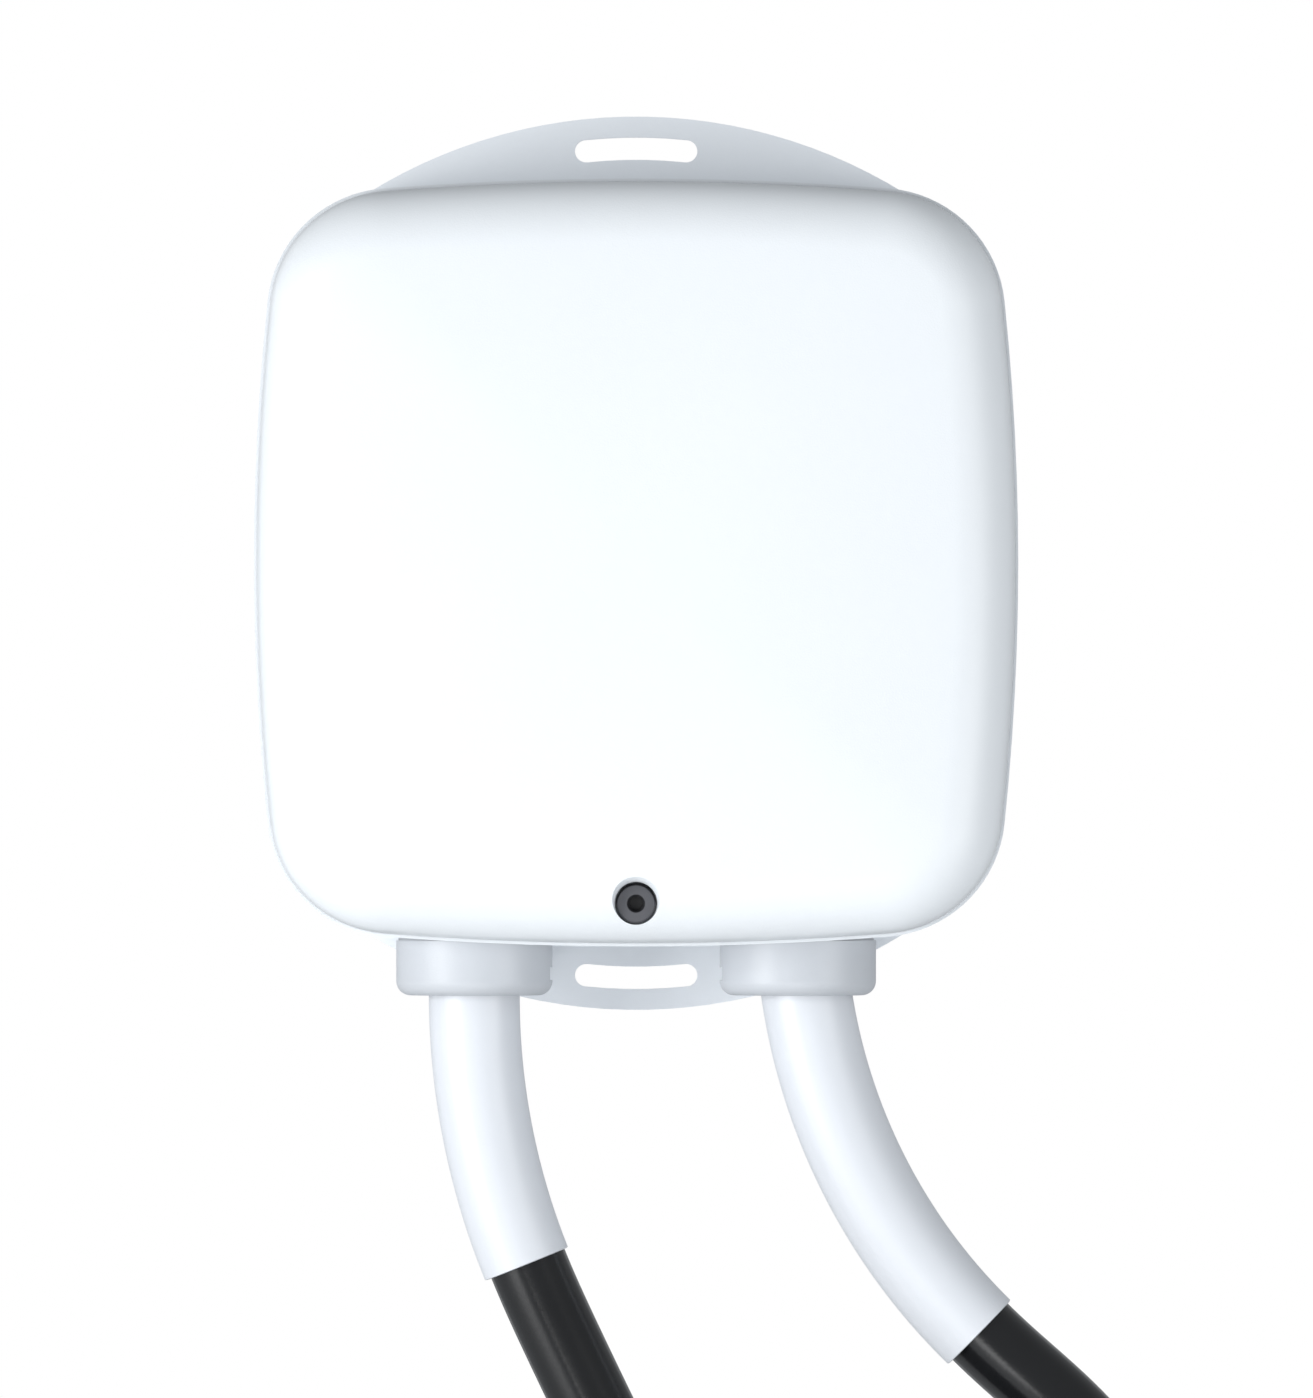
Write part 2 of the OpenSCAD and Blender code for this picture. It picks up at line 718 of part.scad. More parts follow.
module radio_module() {
    color("teal") union() {
        block(40, board_mid + 34, 26, 16, part_y, part_y + 1.2);
        block(38, board_mid + 34, 18, 12, part_y + 1.2, part_y + 3.6);
    }
}

// Five wires that fan out from a cable's sheath to a terminal block
module fan(side, colours) {
    for (i = [-2 : 2]) color(colours[i + 2]) {
        a = [side * entry_x + i * (wire_d - 0.1), -entry_y + (i % 2 == 0 ? 1.6 : -2.2),
             0.5 - cable_top];
        b = [side * entry_x + i * wire_step, -wire_y, board_low + 1];
        swept([a, b, b + [0, 0, 8]], wire_d, 8);
    }
}

module supply_wires() { fan(-1, core_colours); }
module charging_wires() { fan(1, core_colours); }

// ---- Supply cable ----

module supply_cable() { color("black") swept(supply_route, cable_d); }
module supply_tail() { color("black") swept(supply_tail_route, cable_d); }

module supply_coil() {
    color("black") translate([supply_coil_x, supply_coil_y, supply_coil_z]) rotate([90, 0, 0])
        rotate_extrude($fn = 120)
            translate([supply_coil_r - 1.5 * cable_d, -cable_d / 2]) square([2 * cable_d, cable_d]);
}

module supply_cores() {
    end = supply_tail_route[len(supply_tail_route) - 1];
    for (i = [0 : 4]) color(core_colours[i])
        rod(end + [5.2 * cos(72 * i), 5.2 * sin(72 * i), -slack],
            end + [9 * cos(72 * i), 6.5 * sin(72 * i), -48 - 3 * i], wire_d / 2);
}

module core_ferrules() {
    end = supply_tail_route[len(supply_tail_route) - 1];
    color("silver") for (i = [0 : 4])
        translate(end + [9 * cos(72 * i), 6.5 * sin(72 * i), -60.3 - 3 * i])
            cylinder(r = 1.4, h = 12, $fn = 24);
}

// A strap round a coil: a band round a section that is half_w by half_t, turned by an angle
module supply_coil_ties() {
    color("dimgray") for (a = [150, 270]) translate([supply_coil_x, supply_coil_y, supply_coil_z])
        rotate([90, 0, 0]) rotate([0, 0, a - tie_w / 2]) rotate_extrude(angle = tie_w, $fn = 120)
            translate([supply_coil_r - cable_d / 2, 0]) difference() {
                square([2 * (cable_d + tie_t + slack), cable_d + 2 * (tie_t + slack)], center = true);
                square([2 * (cable_d + slack), cable_d + 2 * slack], center = true);
            }
}

// ---- Charging cable ----

module charging_cable() { color("black") swept(charging_route, cable_d); }
module charging_tail() { color("black") swept(charging_tail_route, cable_d); }

// A hexagon round a bundle of seven turns, with its flats facing in and out
module bundle_2d(extra = 0) {
    r = bundle_r + extra / cos(30);
    polygon([for (k = [0 : 5]) r * [cos(30 + 60 * k), sin(30 + 60 * k)]]);
}

module charging_coil() {
    color("black") translate([charge_coil_x, charge_coil_y, charge_coil_z]) rotate([90, 0, 0])
        rotate_extrude($fn = 120) translate([charge_coil_r, 0]) bundle_2d();
}

module charging_coil_ties() {
    color("dimgray") for (a = [90, 210, 300])
        translate([charge_coil_x, charge_coil_y, charge_coil_z])
            rotate([90, 0, 0]) rotate([0, 0, a - tie_w / 2]) rotate_extrude(angle = tie_w, $fn = 120)
                translate([charge_coil_r, 0]) difference() {
                    bundle_2d(tie_t + slack);
                    bundle_2d(slack);
                }
}

// ---- Connector ----

module at_plug(z) { translate([plug_x, plug_y, z]) children(); }

module connector_boot() {
    color("black") at_plug(grip_top) rotate_extrude() difference() {
        polygon([[0, -12], [boot_flange, -12], [boot_flange, -8], [boot_neck, -8], [boot_neck, -4],
                 [boot_flange, -4], [boot_flange, 0], [15, 0], [14.4, 8], [12, boot_l], [0, boot_l]]);
        translate([-1, -13]) square([cable_d / 2 + fit + 1, boot_l + 14]);
    }
}

// Outer profile of the shell from its mouth, at the nose, up to the boot
function shell_points(k) = [
    [nose_d / 2 + 4 - k, 0], [nose_d / 2 + 4 - k, 10], [nose_d / 2 - 2 - k, 26],
    [22 - k, 46], [20.5 - k, 70], [19.5 - k, grip_l - 20], [16.5 - k, grip_l]
];

module shell_half(a) {
    at_plug(nose_top) rotate([0, 0, a]) rotate_extrude(angle = 180) difference() {
        polygon(concat([[0, 0]], shell_points(0), [[0, grip_l]]));
        polygon([[-1, -1], [nose_d / 2 + 4 - shell_wall, -1], [nose_d / 2 + 4 - shell_wall, 10],
                 [nose_d / 2 - 2 - shell_wall, 26], [22 - shell_wall, 46], [20.5 - shell_wall, 70],
                 [19.5 - shell_wall, grip_l - 20], [13.2, grip_l - 8], [-1, grip_l - 8]]);
        translate([-1, grip_l - 9]) square([1 + boot_neck + 0.2, 6]);
        translate([-1, grip_l - 4]) square([1 + boot_flange + 0.1, 5]);
    }
}

module connector_shell_left() { color("black") shell_half(90); }
module connector_shell_right() { color("black") shell_half(270); }

module connector_nose() {
    color("dimgray") at_plug(nose_end) rotate_extrude() difference() {
        union() {
            square([nose_d / 2, nose_l]);
            translate([0, nose_l]) square([nose_d / 2 + 4 - shell_wall - fit, 6]);
        }
        translate([-1, -1]) square([carrier_r + 4.5 + 1, nose_l - 4]);
        translate([-1, -1]) square([carrier_r + fit + 1, nose_l + 20]);
    }
}

module contact_carrier() {
    color("black") at_plug(nose_end + 2) difference() {
        cylinder(r = carrier_r, h = nose_l + 4);
        for (c = contact_spots) translate([c[0], c[1], -cut]) cylinder(r = c[2] + 1.1, h = nose_l + 8,
                                                                      $fn = 32);
    }
}

module contact_sleeves() {
    color("silver") for (c = contact_spots)
        at_plug(nose_end + 8) translate([c[0], c[1], 0]) difference() {
            cylinder(r = c[2] + 1.05, h = nose_l + 6, $fn = 32);
            translate([0, 0, -cut]) cylinder(r = c[2], h = nose_l - 6, $fn = 32);
        }
}

module dust_cap() {
    color("black") at_plug(nose_end - slack - cap_t) difference() {
        cylinder(r = nose_d / 2 + slack + cap_t, h = nose_l - 4);
        translate([0, 0, cap_t]) cylinder(r = nose_d / 2 + slack, h = nose_l);
    }
}

wall_plate();
rear_case();
plate_screws();
cover_gasket();
front_cover();
screw_retainer();
cover_screw();
cover_screw_insert();
collar_left();
collar_right();
collar_seals();
locknut_left();
locknut_right();
grommet_left();
grommet_right();
sleeve_left();
sleeve_right();
clamp_bases();
clamp_caps();
clamp_screws();
main_board();
board_screws();
power_relays();
power_supply();
supply_terminals();
charging_terminals();
terminal_screws();
current_sensor();
sensor_screws();
radio_module();
supply_wires();
charging_wires();
supply_cable();
supply_coil();
supply_tail();
supply_cores();
core_ferrules();
supply_coil_ties();
charging_cable();
charging_coil();
charging_tail();
charging_coil_ties();
connector_boot();
connector_shell_left();
connector_shell_right();
connector_nose();
contact_carrier();
contact_sleeves();
dust_cap();
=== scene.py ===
"""Looks of the wall-mounted charging box: camera and light, cords, shells and materials."""
import math

import bpy
import bmesh
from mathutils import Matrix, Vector


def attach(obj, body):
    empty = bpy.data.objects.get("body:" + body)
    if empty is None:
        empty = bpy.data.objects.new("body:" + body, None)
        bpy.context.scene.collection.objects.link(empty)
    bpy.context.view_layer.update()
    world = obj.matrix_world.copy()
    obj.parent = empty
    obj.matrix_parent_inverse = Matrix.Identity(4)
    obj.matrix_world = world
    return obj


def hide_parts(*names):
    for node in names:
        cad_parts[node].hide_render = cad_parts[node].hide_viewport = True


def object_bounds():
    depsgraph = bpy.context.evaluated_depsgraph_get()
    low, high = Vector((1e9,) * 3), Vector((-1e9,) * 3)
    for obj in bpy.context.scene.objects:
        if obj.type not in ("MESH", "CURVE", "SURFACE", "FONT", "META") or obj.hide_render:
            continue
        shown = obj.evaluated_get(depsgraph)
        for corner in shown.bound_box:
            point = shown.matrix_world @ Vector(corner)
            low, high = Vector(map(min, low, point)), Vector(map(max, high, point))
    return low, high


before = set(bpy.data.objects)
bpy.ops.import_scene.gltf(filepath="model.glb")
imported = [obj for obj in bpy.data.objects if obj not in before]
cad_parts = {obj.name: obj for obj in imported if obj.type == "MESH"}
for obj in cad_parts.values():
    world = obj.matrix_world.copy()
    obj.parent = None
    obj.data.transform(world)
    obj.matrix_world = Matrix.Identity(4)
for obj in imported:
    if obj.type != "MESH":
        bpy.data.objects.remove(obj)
cad_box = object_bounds()
MM = 0.001
CABLE_D = 0.0182
SCREW_Z = -78.3               # millimetres


# ---- Camera, light and stage ----

VIEW_HEIGHT = 0.3215          # metres that the photograph's frame covers from top to bottom
VIEW_CENTRE = (0.0047, -0.049, -0.0314)
VIEW_DISTANCE = 8.0


def make_camera():
    data = bpy.data.cameras.new("camera")
    data.sensor_width = 36
    data.lens = data.sensor_width * VIEW_DISTANCE / VIEW_HEIGHT
    data.clip_end = 60
    cam = bpy.data.objects.new("camera", data)
    x, y, z = VIEW_CENTRE
    cam.location = (x, y - VIEW_DISTANCE, z)
    cam.rotation_euler = (math.radians(90), 0, 0)
    bpy.context.scene.collection.objects.link(cam)
    bpy.context.scene.camera = cam


def area_light(name, place, target, size, power):
    data = bpy.data.lights.new(name, "AREA")
    data.size = size
    data.energy = power
    lamp = bpy.data.objects.new(name, data)
    lamp.location = place
    aim = Vector(target) - Vector(place)
    lamp.rotation_euler = aim.to_track_quat("-Z", "Y").to_euler()
    bpy.context.scene.collection.objects.link(lamp)


def make_world():
    """White to the eye, and a dimmer even light on the object."""
    world = bpy.data.worlds.new("studio")
    world.use_nodes = True
    tree = world.node_tree
    tree.nodes.clear()
    out = tree.nodes.new("ShaderNodeOutputWorld")
    mix = tree.nodes.new("ShaderNodeMixShader")
    path = tree.nodes.new("ShaderNodeLightPath")
    dim = tree.nodes.new("ShaderNodeBackground")
    white = tree.nodes.new("ShaderNodeBackground")
    dim.inputs["Color"].default_value = (0.94, 0.97, 1, 1)
    dim.inputs["Strength"].default_value = 0.46
    white.inputs["Strength"].default_value = 1.0
    white.inputs["Color"].default_value = (1, 1, 1, 1)
    tree.links.new(path.outputs["Is Camera Ray"], mix.inputs[0])
    tree.links.new(dim.outputs[0], mix.inputs[1])
    tree.links.new(white.outputs[0], mix.inputs[2])
    tree.links.new(mix.outputs[0], out.inputs[0])
    bpy.context.scene.world = world


def make_stage():
    bpy.context.scene.view_settings.view_transform = "Standard"
    make_world()
    area_light("left", (-1.65, -1.35, -0.1), (0, 0, -0.08), 1.0, 34)
    area_light("right", (1.55, -1.3, -0.3), (0, 0, -0.1), 0.8, 11)
    area_light("under", (-0.1, -1.1, -0.6), (0, 0, -0.05), 0.5, 3.2)
    mesh = bpy.data.meshes.new("floor")
    half, low = 3.0, cad_box[0][2] - 0.08
    corners = [(-half, -half, low), (half, -half, low), (half, half, low), (-half, half, low)]
    mesh.from_pydata(corners, [], [(0, 1, 2, 3)])
    floor = bpy.data.objects.new("floor", mesh)
    bpy.context.scene.collection.objects.link(floor)
    floor.data.materials.append(plastic("floor_paint", (0.86, 0.87, 0.88), 0.7, 0.0, 40))


# ---- Materials ----

def new_material(name):
    mat = bpy.data.materials.new(name)
    mat.use_nodes = True
    tree = mat.node_tree
    return mat, tree, tree.nodes["Principled BSDF"]


def object_coords(tree):
    return tree.nodes.new("ShaderNodeTexCoord").outputs["Object"]


def noise(tree, scale, detail=3.0, stretch=(1, 1, 1)):
    place = tree.nodes.new("ShaderNodeMapping")
    place.inputs["Scale"].default_value = stretch
    tree.links.new(object_coords(tree), place.inputs[0])
    tex = tree.nodes.new("ShaderNodeTexNoise")
    tex.inputs["Scale"].default_value = scale
    tex.inputs["Detail"].default_value = detail
    tree.links.new(place.outputs[0], tex.inputs["Vector"])
    return tex.outputs["Fac"]


def ramp(tree, value, low, high, low_at=0.3, high_at=0.7):
    node = tree.nodes.new("ShaderNodeValToRGB")
    node.color_ramp.elements[0].position = low_at
    node.color_ramp.elements[1].position = high_at
    node.color_ramp.elements[0].color = (*low, 1)
    node.color_ramp.elements[1].color = (*high, 1)
    tree.links.new(value, node.inputs[0])
    return node.outputs[0]


def span(tree, value, low, high):
    node = tree.nodes.new("ShaderNodeMapRange")
    node.inputs["To Min"].default_value = low
    node.inputs["To Max"].default_value = high
    tree.links.new(value, node.inputs[0])
    return node.outputs[0]


def bump(tree, shader, height, distance, strength=1.0):
    node = tree.nodes.new("ShaderNodeBump")
    node.inputs["Distance"].default_value = distance
    node.inputs["Strength"].default_value = strength
    tree.links.new(height, node.inputs["Height"])
    tree.links.new(node.outputs[0], shader.inputs["Normal"])


def shade(colour, factor):
    return tuple(min(1.0, c * factor) for c in colour)


def plastic(name, colour, roughness, texture, grain, metallic=0.0, vary=0.03, gloss=0.5):
    """Moulded plastic, rubber or paint: a fine grain, slow colour drift and uneven gloss."""
    mat, tree, shader = new_material(name)
    drift = noise(tree, 14, 4)
    tree.links.new(ramp(tree, drift, shade(colour, 1 - vary), shade(colour, 1 + vary)),
                   shader.inputs["Base Color"])
    tree.links.new(span(tree, noise(tree, 60, 5), roughness - 0.05, roughness + 0.05),
                   shader.inputs["Roughness"])
    shader.inputs["Metallic"].default_value = metallic
    shader.inputs["Specular IOR Level"].default_value = gloss
    if texture > 0:
        bump(tree, shader, noise(tree, grain, 2), texture)
    return mat


def turned_metal(name, colour, roughness, stretch=(1, 40, 1)):
    mat, tree, shader = new_material(name)
    lines = noise(tree, 300, 4, stretch)
    tree.links.new(ramp(tree, lines, shade(colour, 0.85), shade(colour, 1.08)),
                   shader.inputs["Base Color"])
    tree.links.new(span(tree, lines, roughness - 0.06, roughness + 0.1), shader.inputs["Roughness"])
    shader.inputs["Metallic"].default_value = 1.0
    bump(tree, shader, lines, 0.00003)
    return mat


def tape(name, colour):
    """Woven hook-and-loop tape."""
    mat, tree, shader = new_material(name)
    brick = tree.nodes.new("ShaderNodeTexBrick")
    brick.inputs["Scale"].default_value = 600
    brick.inputs["Color1"].default_value = (*shade(colour, 1.3), 1)
    brick.inputs["Color2"].default_value = (*shade(colour, 0.8), 1)
    brick.inputs["Mortar"].default_value = (*shade(colour, 0.4), 1)
    tree.links.new(object_coords(tree), brick.inputs["Vector"])
    tree.links.new(brick.outputs["Color"], shader.inputs["Base Color"])
    shader.inputs["Roughness"].default_value = 0.9
    shader.inputs["Sheen Weight"].default_value = 0.4
    bump(tree, shader, brick.outputs["Fac"], 0.0003)
    return mat


def board(name):
    """Green lacquer over copper tracks."""
    mat, tree, shader = new_material(name)
    tracks = tree.nodes.new("ShaderNodeTexBrick")
    tracks.inputs["Scale"].default_value = 90
    tracks.inputs["Mortar Size"].default_value = 0.06
    tracks.inputs["Color1"].default_value = (0.012, 0.11, 0.045, 1)
    tracks.inputs["Color2"].default_value = (0.016, 0.14, 0.055, 1)
    tracks.inputs["Mortar"].default_value = (0.05, 0.26, 0.1, 1)
    turn = tree.nodes.new("ShaderNodeMapping")
    turn.inputs["Rotation"].default_value = (math.radians(90), 0, 0)
    tree.links.new(object_coords(tree), turn.inputs[0])
    tree.links.new(turn.outputs[0], tracks.inputs["Vector"])
    tree.links.new(tracks.outputs["Color"], shader.inputs["Base Color"])
    tree.links.new(span(tree, noise(tree, 200), 0.25, 0.4), shader.inputs["Roughness"])
    bump(tree, shader, tracks.outputs["Fac"], 0.00005)
    return mat


def blackened_screw_with_painted_shade(name, colour):
    """Blackened steel with fine turning marks, painted shade inside the socket, and darker towards the
    rim of the head.
    """
    mat, tree, shader = new_material(name)
    split = tree.nodes.new("ShaderNodeSeparateXYZ")
    tree.links.new(object_coords(tree), split.inputs[0])
    flat = tree.nodes.new("ShaderNodeCombineXYZ")
    drop = tree.nodes.new("ShaderNodeMath")
    drop.inputs[1].default_value = -SCREW_Z * MM
    tree.links.new(split.outputs["Z"], drop.inputs[0])
    tree.links.new(split.outputs["X"], flat.inputs["X"])
    tree.links.new(drop.outputs[0], flat.inputs["Y"])
    reach = tree.nodes.new("ShaderNodeVectorMath")
    reach.operation = "LENGTH"
    tree.links.new(flat.outputs[0], reach.inputs[0])
    part = tree.nodes.new("ShaderNodeMath")
    part.operation = "MULTIPLY"
    part.inputs[1].default_value = 200.0
    tree.links.new(reach.outputs["Value"], part.inputs[0])
    tone_with_painted_socket_shade = tree.nodes.new("ShaderNodeValToRGB")
    # Stops by distance from the screw's axis: painted shade in the socket, then the head's own colour,
    # darker towards its rim.
    stops = [(0.0, 0.06), (0.31, 0.1), (0.4, 0.35), (0.44, 1.0), (0.82, 1.0), (0.9, 0.8)]
    for i, (at, factor) in enumerate(stops):
        stop = tone_with_painted_socket_shade.color_ramp.elements[i] if i < 2 else tone_with_painted_socket_shade.color_ramp.elements.new(at)
        stop.position = at
        stop.color = (*shade(colour, factor), 1)
    tree.links.new(part.outputs[0], tone_with_painted_socket_shade.inputs[0])
    rings = tree.nodes.new("ShaderNodeTexNoise")
    rings.inputs["Scale"].default_value = 4000
    tree.links.new(reach.outputs["Value"], rings.inputs["Vector"])
    tree.links.new(tone_with_painted_socket_shade.outputs[0], shader.inputs["Base Color"])
    tree.links.new(span(tree, noise(tree, 900, 3), 0.42, 0.55), shader.inputs["Roughness"])
    shader.inputs["Metallic"].default_value = 0.2
    bump(tree, shader, rings.outputs["Fac"], 0.00003)
    return mat


def make_materials():
    grain = 0.00003
    return {
        "shell": plastic("shell_white", (0.725, 0.758, 0.788), 0.42, grain, 2500, vary=0.006),
        # The collars are the shell's white plastic, made darker: painted shade.
        "collar": plastic("collar_white_painted_shade", (0.5, 0.525, 0.56), 0.45, grain, 2500, vary=0.015),
        "seal": plastic("pale_seal", (0.5, 0.52, 0.55), 0.6, grain, 1800, vary=0.03),
        # The wall plate is the shell's white plastic, made lighter: painted light on its tabs, which sit
        # in the housing's shadow.
        "plate": plastic("plate_grey", (0.80, 0.835, 0.875), 0.5, grain, 2500, vary=0.015),
        "sleeve": plastic("sleeve_white", (0.645, 0.672, 0.713), 0.38, 0.00002, 1500, vary=0.012),
        "cable": plastic("cable_black", (0.008, 0.0085, 0.0095), 0.2, 0.00002, 1200, vary=0.1, gloss=0.4),
        "rubber": plastic("seal_rubber", (0.018, 0.018, 0.02), 0.6, 0.00004, 1800, vary=0.12),
        "screw": blackened_screw_with_painted_shade("dark_steel", (0.085, 0.087, 0.097)),
        "steel": turned_metal("steel", (0.55, 0.55, 0.57), 0.3),
        "brass": turned_metal("brass", (0.72, 0.5, 0.2), 0.28),
        "tin": turned_metal("tin", (0.7, 0.7, 0.72), 0.3, (1, 1, 30)),
        "dark": plastic("dark_plastic", (0.03, 0.03, 0.034), 0.5, 0.00003, 2000, vary=0.1),
        "plug": plastic("plug_black", (0.022, 0.022, 0.025), 0.48, 0.00006, 1500, vary=0.1),
        "grey": plastic("terminal_grey", (0.33, 0.35, 0.36), 0.5, 0.00003, 2000),
        "blue": plastic("sensor_blue", (0.03, 0.06, 0.22), 0.45, 0.00003, 2000, vary=0.08),
        "board": board("board_green"),
        "tape": tape("tie_fabric", (0.03, 0.03, 0.034)),
        "wires": core_insulation("core_sheath", across_fan),
        "cores": core_insulation("core_sheath_bare", round_tail),
    }


def arithmetic(tree, operation, a, b=0.0):
    node = tree.nodes.new("ShaderNodeMath")
    node.operation = operation
    for slot, value in enumerate((a, b)):
        if isinstance(value, (int, float)):
            node.inputs[slot].default_value = value
        else:
            tree.links.new(value, node.inputs[slot])
    return node.outputs[0]


def core_insulation(name, share):
    """Five colours of core: share(tree, x, y, z) runs from 0 to 1 across them."""
    mat, tree, shader = new_material(name)
    split = tree.nodes.new("ShaderNodeSeparateXYZ")
    tree.links.new(object_coords(tree), split.inputs[0])
    bands = tree.nodes.new("ShaderNodeValToRGB")
    bands.color_ramp.interpolation = "CONSTANT"
    colours = [(0.16, 0.06, 0.02), (0.012, 0.012, 0.014), (0.1, 0.42, 0.06), (0.25, 0.26, 0.27),
               (0.03, 0.14, 0.5)]
    for i, colour in enumerate(colours):
        stop = bands.color_ramp.elements[i] if i < 2 else bands.color_ramp.elements.new(0.2 * i)
        stop.position = 0.2 * i
        stop.color = (*colour, 1)
    tree.links.new(share(tree, *split.outputs), bands.inputs[0])
    tree.links.new(bands.outputs[0], shader.inputs["Base Color"])
    tree.links.new(span(tree, noise(tree, 80), 0.35, 0.45), shader.inputs["Roughness"])
    bump(tree, shader, noise(tree, 900), 0.00002)
    return mat


def across_fan(tree, x, y, z):
    """The place of a wire in its fan, which is 3.5 mm a wire at the cable and 8 mm above."""
    side = arithmetic(tree, "SIGN", x)
    off = arithmetic(tree, "SUBTRACT", x, arithmetic(tree, "MULTIPLY", side, 0.0373))
    rise = arithmetic(tree, "MULTIPLY", arithmetic(tree, "ADD", z, 0.0575), 1 / 0.0345)
    rise = arithmetic(tree, "MINIMUM", arithmetic(tree, "MAXIMUM", rise, 0.0), 1.0)
    step = arithmetic(tree, "ADD", arithmetic(tree, "MULTIPLY", rise, 0.0045), 0.0035)
    place = arithmetic(tree, "ADD", arithmetic(tree, "DIVIDE", off, step), 2.5)
    return arithmetic(tree, "MULTIPLY", place, 0.2)


def round_tail(tree, x, y, z):
    """The angle round the end of the supply cable's tail."""
    turn = arithmetic(tree, "ARCTAN2", arithmetic(tree, "ADD", y, 0.0106),
                      arithmetic(tree, "SUBTRACT", x, 0.0308))
    part = arithmetic(tree, "ADD", arithmetic(tree, "MULTIPLY", turn, 0.5 / math.pi), 1.1)
    return arithmetic(tree, "FRACT", part)


FINISH = {
    "plate": ["wall_plate"],
    "collar": ["collar_left", "collar_right"],
    "seal": ["collar_seals"],
    "shell": ["rear_case", "front_cover"],
    "sleeve": ["sleeve_left", "sleeve_right"],
    "rubber": ["cover_gasket", "screw_retainer", "grommet_left", "grommet_right",
               "connector_boot", "dust_cap"],
    "screw": ["cover_screw"],
    "steel": ["plate_screws", "clamp_screws", "board_screws", "terminal_screws", "sensor_screws"],
    "brass": ["cover_screw_insert"],
    "tin": ["core_ferrules", "contact_sleeves"],
    "dark": ["locknut_left", "locknut_right", "clamp_bases", "clamp_caps", "power_relays",
             "power_supply", "contact_carrier"],
    "plug": ["connector_shell_left", "connector_shell_right", "connector_nose"],
    "grey": ["supply_terminals", "charging_terminals"],
    "blue": ["current_sensor"],
    "board": ["main_board", "radio_module"],
    "wires": ["supply_wires", "charging_wires"],
    "cores": ["supply_cores"],
    "tape": ["supply_coil_ties", "charging_coil_ties"],
    "cable": ["supply_cable", "supply_coil", "supply_tail", "charging_cable", "charging_coil",
              "charging_tail"],
}
SOFT_EDGE = {"wall_plate": 0.0007, "rear_case": 0.0005, "power_relays": 0.0006, "power_supply": 0.0008,
             "clamp_caps": 0.0006, "clamp_bases": 0.0004, "supply_terminals": 0.0003,
             "charging_terminals": 0.0003, "current_sensor": 0.0006, "radio_module": 0.0002,
             "supply_coil_ties": 0.0004, "charging_coil_ties": 0.0004, "main_board": 0.0002,
             "cover_screw": 0.0001}


def smooth(obj, angle=35):
    for face in obj.data.polygons:
        face.use_smooth = True
    bpy.context.view_layer.objects.active = obj
    with bpy.context.temp_override(object=obj, active_object=obj, selected_objects=[obj],
                                   selected_editable_objects=[obj]):
        bpy.ops.object.shade_smooth_by_angle(angle=math.radians(angle))


def dress(materials):
    for key, names in FINISH.items():
        for name in names:
            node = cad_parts[name]
            node.data.materials.clear()
            node.data.materials.append(materials[key])
            if name in SOFT_EDGE:
                edge = node.modifiers.new("soft_edge", "BEVEL")
                edge.width = SOFT_EDGE[name]
                edge.segments = 2
                edge.limit_method = "ANGLE"
                edge.angle_limit = math.radians(50)
                edge.harden_normals = True


# ---- Cords ----

SUPPLY_ROUTE = [
    (-37.3, -29, -58), (-37.3, -29, -72), (-37.3, -29, -86), (-37.2, -29, -100),
    (-36.8, -29, -111.5), (-35.6, -29, -123), (-33.6, -29, -134), (-30.8, -29, -145),
    (-27.2, -29, -156), (-22.8, -29, -167), (-17.2, -29, -179), (-11, -29, -192),
    (1.2, -29, -217), (13.5, -29, -242), (25, -29, -266), (35, -29, -289),
    (43, -29, -312), (47.5, -29, -337), (49, -29, -363), (49, -29, -390)]
SUPPLY_TAIL = [(30.8, -10.6, z) for z in (-390, -415, -440, -465, -490, -520)]
CHARGING_ROUTE = [
    (37.3, -29, -58), (37.3, -29, -72), (37.8, -29, -86), (39.4, -29, -100),
    (41.7, -29, -111.4), (45, -29, -122.9), (49.2, -29, -134), (54.4, -29, -144.7),
    (60.6, -29, -154.9), (67.6, -29, -164.4), (75.4, -29, -173.5), (84.5, -29.2, -182.4),
    (95.8, -30, -192), (106, -32, -202), (114, -34.5, -213.5), (119.8, -37.5, -226),
    (123.2, -41, -239.5), (124.5, -45, -254), (124.5, -52, -278), (124.5, -57.5, -302),
    (124.5, -60.4, -326), (124.5, -61, -350)]
CHARGING_TAIL = [(92.98, -108, z) for z in (-350, -375, -400, -425, -450, -472, -494)]
STEPS_PER_TURN = 36
LAYER = CABLE_D / MM * math.sin(math.radians(60))


def ease(t):
    t = min(max(t, 0.0), 1.0)
    return t * t * (3 - 2 * t)


def wind(centre, places):
    """A coil's turns: they start and end at the right, heading down.

    places gives each turn's radius and depth, and the share of the turn where it moves on."""
    x0, z0 = centre
    points = []
    for turn in range(len(places) - 1):
        r0, y0, moves_from, moves_to = places[turn]
        r1, y1 = places[turn + 1][:2]
        for step in range(STEPS_PER_TURN):
            part = step / STEPS_PER_TURN
            on = ease((part - moves_from) / (moves_to - moves_from))
            angle = -2 * math.pi * part
            r, y = r0 + (r1 - r0) * on, y0 + (y1 - y0) * on
            points.append((x0 + r * math.cos(angle), y, z0 + r * math.sin(angle)))
    return points


def supply_turns():
    outer, inner = 109.0, 109.0 - CABLE_D / MM
    places = [(outer, -29, 0.6, 0.98), (inner, -29, 0.7, 0.99), (inner, -10.6, 0, 1)]
    return wind((49 - outer, -390), places)


